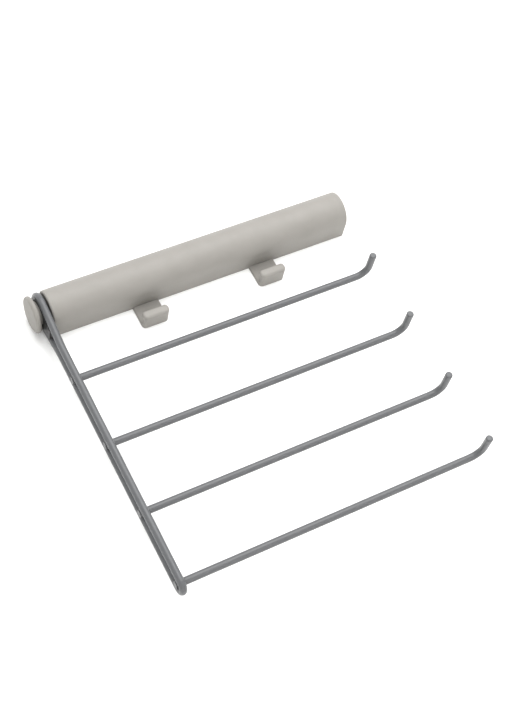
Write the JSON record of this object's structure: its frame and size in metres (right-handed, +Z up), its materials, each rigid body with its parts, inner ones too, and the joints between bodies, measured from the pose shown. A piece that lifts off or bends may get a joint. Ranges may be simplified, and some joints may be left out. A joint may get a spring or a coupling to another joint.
{
  "type": "wall mounted fold down drying rack",
  "caption": "Wall mounted laundry drying rack: a comb of parallel rungs hinged on a horizontal barrel, folding down flat against the wall, with hooks under the barrel.",
  "frame": {"origin": "on the wall face of the back plate, level with the pivot axis, half way along the barrel", "axes": "+X along the barrel away from the arm and towards the free rung ends, -Y out of the wall into the room, +Z up"},
  "size_m": [0.371, 0.0565, 0.3601],
  "materials": {
    "barrel_plastic": "satin",
    "rack_paint": "satin powder coat",
    "hub_plastic": "satin",
    "bearing_plastic": "matt",
    "friction_plastic": "matt",
    "zinc_steel": "zinc plated"
  },
  "bodies": {
    "barrel": {"back_plate": "barrel_plastic", "housing": "barrel_plastic", "cover_screws": "zinc_steel", "outer_bearing": "bearing_plastic", "inner_bearing": "bearing_plastic", "friction_ring": "friction_plastic"},
    "rack": {"pivot_shaft": "zinc_steel", "stop_pin": "zinc_steel", "pressure_plate": "zinc_steel", "disc_springs": "zinc_steel", "lock_nut": "zinc_steel", "arm_hub": "hub_plastic", "hub_washer": "zinc_steel", "hub_screw": "zinc_steel", "end_cap": "barrel_plastic", "arm": "rack_paint", "rung_1": "rack_paint", "rung_2": "rack_paint", "rung_3": "rack_paint", "rung_4": "rack_paint"}
  },
  "joints": [
    {"name": "rack_hinge", "type": "hinge", "parent": "barrel", "child": "rack", "pos_m": [-0.176, -0.0215, 0], "axis": [-1, 0, 0], "range_deg": [0, 90]}
  ]
}
